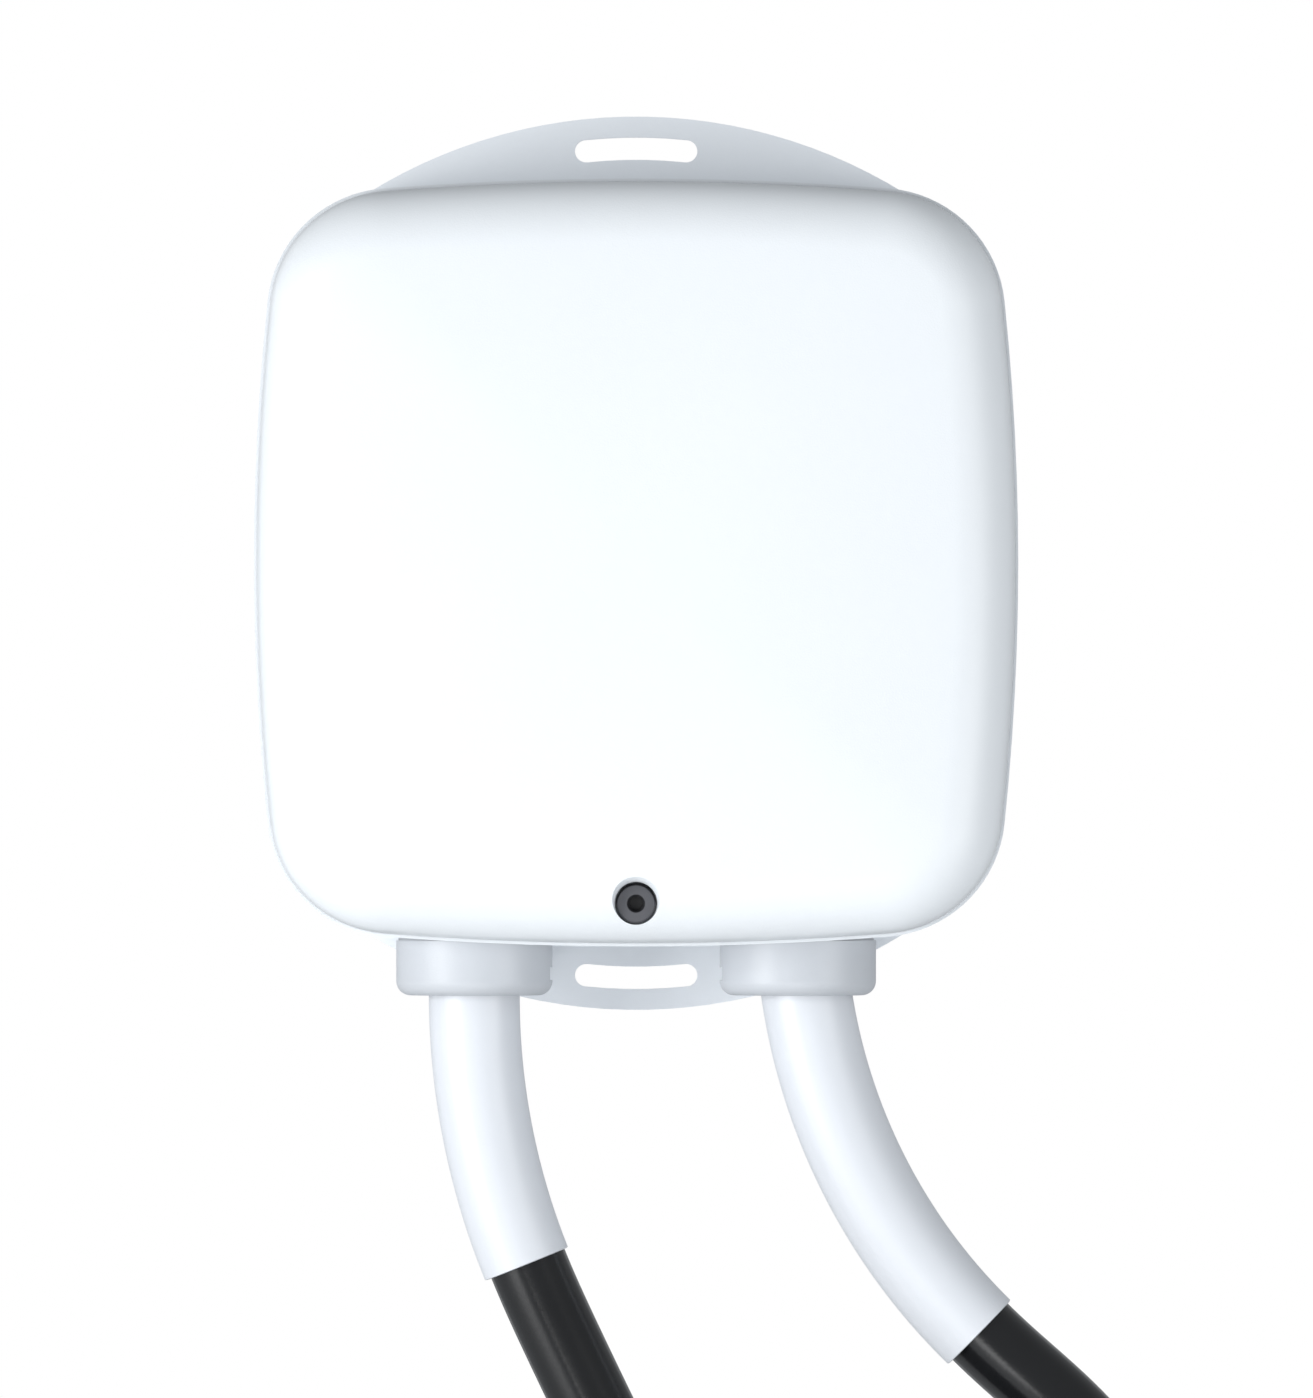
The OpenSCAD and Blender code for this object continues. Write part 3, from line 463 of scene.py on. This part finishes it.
def charging_turns():
    """Seven nested turns: two outside, three in the middle and two inside."""
    mean, step, mid = 105.0, CABLE_D / MM, -70.0
    outer, inner = mean + LAYER, mean - LAYER
    places = [
        (outer, mid + step / 2, 0.08, 0.2), (outer, mid - step / 2, 0.22, 0.34),
        (mean, mid - step, 0.36, 0.48), (mean, mid, 0.5, 0.6), (mean, mid + step, 0.62, 0.74),
        (inner, mid + step / 2, 0.76, 0.86), (inner, mid - step / 2, 0.55, 0.99),
        (inner, -108, 0, 1)]
    return wind((124.5 - outer, -350), places)


def cord_curve(name, points, material):
    data = bpy.data.curves.new(name, "CURVE")
    data.dimensions = "3D"
    data.bevel_depth = CABLE_D / 2
    data.bevel_resolution = 6
    data.resolution_u = 5
    data.use_fill_caps = True
    line = data.splines.new("NURBS")
    line.points.add(len(points) - 1)
    for point, place in zip(line.points, points):
        point.co = (*(v * MM for v in place), 1)
    line.order_u = 4
    line.use_endpoint_u = True
    data.materials.append(material)
    obj = bpy.data.objects.new(name, data)
    bpy.context.scene.collection.objects.link(obj)
    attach(obj, "root")
    return obj


def make_cords(materials):
    points = SUPPLY_ROUTE[:-1] + supply_turns() + SUPPLY_TAIL
    lead = cord_curve("supply_lead", points, materials["cable"])
    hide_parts("supply_cable", "supply_coil", "supply_tail")
    points = CHARGING_ROUTE[:-1] + charging_turns() + CHARGING_TAIL
    lead = cord_curve("charging_lead", points, materials["cable"])
    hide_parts("charging_cable", "charging_coil", "charging_tail")


# ---- Bend sleeves ----

SLEEVE_R = 0.0105
SLEEVE_TAPER = 0.0002         # how much thinner a sleeve is at its end
SLEEVE_SIDES = 48
SEAM_SIDES = (6, 30)          # the corners of a ring where the mould's halves met
SEAM_HEIGHT = 0.00012
ENTRY_DEPTH = 0.029           # from the wall to the middle of a cable entry
ENTRY_X, COLLAR_Z = 37.3, -99.7


def bend_path(x, z, arcs, step=2.0):
    """Points and leans along arcs that each begin where the last one ends, from vertical."""
    path, lean = [], 0.0
    for radius, angle in arcs:
        count = max(2, round(radius * math.radians(angle) / step))
        for i in range(count + 1):
            here = lean + angle * i / count
            a, b = math.radians(lean), math.radians(here)
            path.append((x + radius * (math.cos(a) - math.cos(b)),
                         z - radius * (math.sin(b) - math.sin(a)), here))
        x, z = path[-1][0], path[-1][1]
        lean += angle
    return path


def tube_ring(mesh, station, radius, seam=0.0, along=0.0):
    """One ring of a sleeve, moved along its line, with a ridge at each mould seam."""
    x, z, lean = station
    t = math.radians(lean)
    x, z = x - along * math.sin(t), z + along * math.cos(t)
    ring = []
    for k in range(SLEEVE_SIDES):
        a = 2 * math.pi * k / SLEEVE_SIDES
        r = radius + (seam if k in SEAM_SIDES else 0.0)
        across, deep = r * math.cos(a), r * math.sin(a)
        ring.append(mesh.verts.new((x * MM + across * math.cos(t), -ENTRY_DEPTH + deep,
                                    z * MM + across * math.sin(t))))
    return ring


def sleeve(name, node, path, material):
    """A tube with an open, slightly rounded end and a fine mould seam down each side."""
    mesh = bmesh.new()
    last, end = len(path) - 1, path[-1]
    rings = [tube_ring(mesh, station, SLEEVE_R - SLEEVE_TAPER * i / last, SEAM_HEIGHT)
             for i, station in enumerate(path)]
    rings.append(tube_ring(mesh, end, SLEEVE_R - 0.0006, along=-0.15))
    rings.append(tube_ring(mesh, end, CABLE_D / 2 + 0.0002, along=-0.05))
    rings.append(tube_ring(mesh, end, CABLE_D / 2 + 0.00015, along=4.0))
    rings.append(tube_ring(mesh, end, CABLE_D / 2 + 0.00015, along=10.0))
    for a, b in zip(rings, rings[1:]):
        for k in range(SLEEVE_SIDES):
            j = (k + 1) % SLEEVE_SIDES
            mesh.faces.new((a[k], a[j], b[j], b[k]))
    mesh.faces.new(rings[0][::-1])
    mesh.faces.new(rings[-1])
    bmesh.ops.recalc_face_normals(mesh, faces=mesh.faces)
    data = bpy.data.meshes.new(name)
    mesh.to_mesh(data)
    obj = bpy.data.objects.new(name, data)
    bpy.context.scene.collection.objects.link(obj)
    data.materials.append(material)
    smooth(obj, 50)
    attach(obj, "root")
    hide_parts(node)
    return obj


def make_sleeves(materials):
    straight = [(-ENTRY_X, -75.5, 0), (-ENTRY_X, -88, 0)]
    left = straight + bend_path(-ENTRY_X, COLLAR_Z, [(165, 22)])
    top = COLLAR_Z + 187 * math.sin(math.radians(8.5))
    right = bend_path(ENTRY_X, top, [(187, 8.5), (136.6, 37.2)])
    right = [p for i, p in enumerate(right) if i == 0 or p[1] < right[i - 1][1] - 0.01]
    return [sleeve("bend_sleeve_left", "sleeve_left", left, materials["sleeve"]),
            sleeve("bend_sleeve_right", "sleeve_right", right, materials["sleeve"])]


# ---- Front cover ----

HALF_W, HALF_H = 87.9, 88.3
SIDE_BOW, TOP_BOW, CORNER = 574.0, 746.0, 29.0
STEP_IN, DRAFT, WALL = 0.7, 0.5, 2.8
EDGE_W, EDGE_DEPTH, CROWN = 13.8, 11.0, 5.0
RIM_Y, SHOULDER_Y, COVER_Y = 49.0, 66.0, 49.3
SEAT_Y, BOSS_Y = 71.6, 51.0


def corner_centre():
    """Where a corner's circle touches both bowed sides."""
    cx, cz = HALF_W - SIDE_BOW, HALF_H - TOP_BOW
    a, b, apart = SIDE_BOW - CORNER, TOP_BOW - CORNER, math.hypot(cx, cz)
    along = (a * a - b * b + apart * apart) / (2 * apart)
    aside = math.sqrt(a * a - along * along)
    ux, uz = -cx / apart, cz / apart
    return cx + along * ux - aside * uz, along * uz + aside * ux


def outline(inset, scale=1.0, side=8, corner=20):
    """The bowed outline moved inward and scaled, as a ring of points."""
    kx, kz = corner_centre()
    cx, cz = HALF_W - SIDE_BOW, HALF_H - TOP_BOW
    a0, a1 = math.atan2(kz, kx - cx), math.atan2(kz - cz, kx)
    quarter = []
    for (px, pz), r, start, end, count in (((cx, 0), SIDE_BOW, 0, a0, side),
                                           ((kx, kz), CORNER, a0, a1, corner),
                                           ((0, cz), TOP_BOW, a1, math.pi / 2, side)):
        for i in range(count):
            a = start + (end - start) * i / count
            quarter.append((px + (r - inset) * math.cos(a), pz + (r - inset) * math.sin(a)))
    top = [(0, HALF_H - inset)]
    left = [(-x, z) for x, z in quarter[:0:-1]]
    half = quarter + top + left
    ring = half + [(-x, -z) for x, z in half]
    return [(x * scale, z * scale) for x, z in ring]


def front_depth(t, k=0.0):
    s = min((t - STEP_IN - DRAFT - k) / (EDGE_W - k), 1)
    round_part = (EDGE_DEPTH - k * 0.6) * math.sqrt(max(1 - (1 - s) ** 2, 0))
    return SHOULDER_Y + round_part + CROWN * (1 - (1 - min(t / HALF_W, 1)) ** 2) - k * 0.4


def cover_skin(k, edge_y, turns, extra):
    """Rings of one side of the cover, moved inward by k."""
    t0 = STEP_IN + DRAFT + k
    last = t0 + EDGE_W - k
    rings = [[(x, -edge_y, z) for x, z in outline(STEP_IN + k)]]
    for i in range(1, 3):
        y = edge_y + (front_depth(t0, k) - edge_y) * i / 3
        rings.append([(x, -y, z) for x, z in outline(STEP_IN + k + DRAFT * i / 3)])
    for i in range(turns + 1):
        t = t0 + (EDGE_W - k) * (1 - math.cos(math.pi / 2 * i / turns))
        rings.append([(x, -front_depth(t, k), z) for x, z in outline(t)])
    for i in range(1, extra):
        f = 1 - i / extra
        y = front_depth(HALF_W - f * (HALF_W - last), k)
        rings.append([(x, -y, z) for x, z in outline(last, f)])
    return rings


def mesh_object(name, verts, faces):
    data = bpy.data.meshes.new(name)
    data.from_pydata([(x * MM, y * MM, z * MM) for x, y, z in verts], [], faces)
    obj = bpy.data.objects.new(name, data)
    bpy.context.scene.collection.objects.link(obj)
    return obj


def shell_between(name, outer, inner):
    """A closed shell: an outer skin, an inner skin and the flat edge that joins them."""
    n = len(outer[0])
    verts, faces = [], []
    for skin in (outer, inner):
        base = len(verts)
        for ring in skin:
            verts.extend(ring)
        middle = len(verts)
        verts.append((0, skin[-1][0][1], 0))
        for k in range(len(skin) - 1):
            for i in range(n):
                j = (i + 1) % n
                quad = (base + k * n + i, base + k * n + j, base + (k + 1) * n + j,
                        base + (k + 1) * n + i)
                faces.append(quad if skin is outer else quad[::-1])
        top = base + (len(skin) - 1) * n
        for i in range(n):
            tri = (top + i, top + (i + 1) % n, middle)
            faces.append(tri if skin is outer else tri[::-1])
    inner_base = len(outer) * n + 1
    for i in range(n):
        j = (i + 1) % n
        faces.append((j, i, inner_base + i, inner_base + j))
    return mesh_object(name, verts, faces)


def turned(name, profile, centre, around=64):
    """A solid turned about the depth axis through centre, from (depth, radius) pairs."""
    verts, faces = [], []
    for depth, radius in profile:
        for k in range(around):
            a = 2 * math.pi * k / around
            verts.append((centre[0] + radius * math.cos(a), -depth, centre[1] + radius * math.sin(a)))
    for p in range(len(profile) - 1):
        for k in range(around):
            j = (k + 1) % around
            faces.append((p * around + k, p * around + j, (p + 1) * around + j, (p + 1) * around + k))
    faces.append(tuple(range(around))[::-1])
    faces.append(tuple((len(profile) - 1) * around + k for k in range(around)))
    obj = mesh_object(name, verts, faces)
    tidy = bmesh.new()
    tidy.from_mesh(obj.data)
    bmesh.ops.recalc_face_normals(tidy, faces=tidy.faces)
    tidy.to_mesh(obj.data)
    return obj


def combine(obj, tool, operation):
    """Applies a boolean and removes the tool."""
    mod = obj.modifiers.new("boolean", "BOOLEAN")
    mod.operation = operation
    mod.object = tool
    mod.solver = "EXACT"
    bpy.context.view_layer.update()
    done = bpy.data.meshes.new_from_object(obj.evaluated_get(bpy.context.evaluated_depsgraph_get()))
    obj.modifiers.clear()
    obj.data = done
    bpy.data.objects.remove(tool)


def make_cover(materials):
    """The crowned cover, with the tube and the dished hole of its screw."""
    cover = shell_between("cover_shell", cover_skin(0, COVER_Y, 18, 16),
                          cover_skin(WALL, COVER_Y + 1.0, 8, 8))
    centre = (0, SCREW_Z)
    tube = turned("tube", [(BOSS_Y + 0.2, 6.2), (SEAT_Y, 6.2)], centre)
    combine(cover, tube, "UNION")
    dish = [(SEAT_Y, 4.85), (SEAT_Y + 3.2, 4.87), (SEAT_Y + 4.4, 5.0), (SEAT_Y + 5.2, 5.2),
            (SEAT_Y + 6.0, 5.5), (SEAT_Y + 6.7, 5.9), (SEAT_Y + 7.5, 6.5), (SEAT_Y + 9, 7.8)]
    combine(cover, turned("dish", dish, centre), "DIFFERENCE")
    combine(cover, turned("bore", [(BOSS_Y - 2, 4.6), (64.4, 4.6), (64.4001, 2.8), (SEAT_Y + 1, 2.8)],
                          centre), "DIFFERENCE")
    cover.data.materials.clear()
    cover.data.materials.append(materials["shell"])
    smooth(cover, 32)
    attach(cover, "cover")
    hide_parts("front_cover")


def main():
    make_camera()
    materials = make_materials()
    make_stage()
    dress(materials)
    for name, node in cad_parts.items():
        smooth(node, 30)
    sleeves = make_sleeves(materials)
    make_cords(materials)
    make_cover(materials)


main()
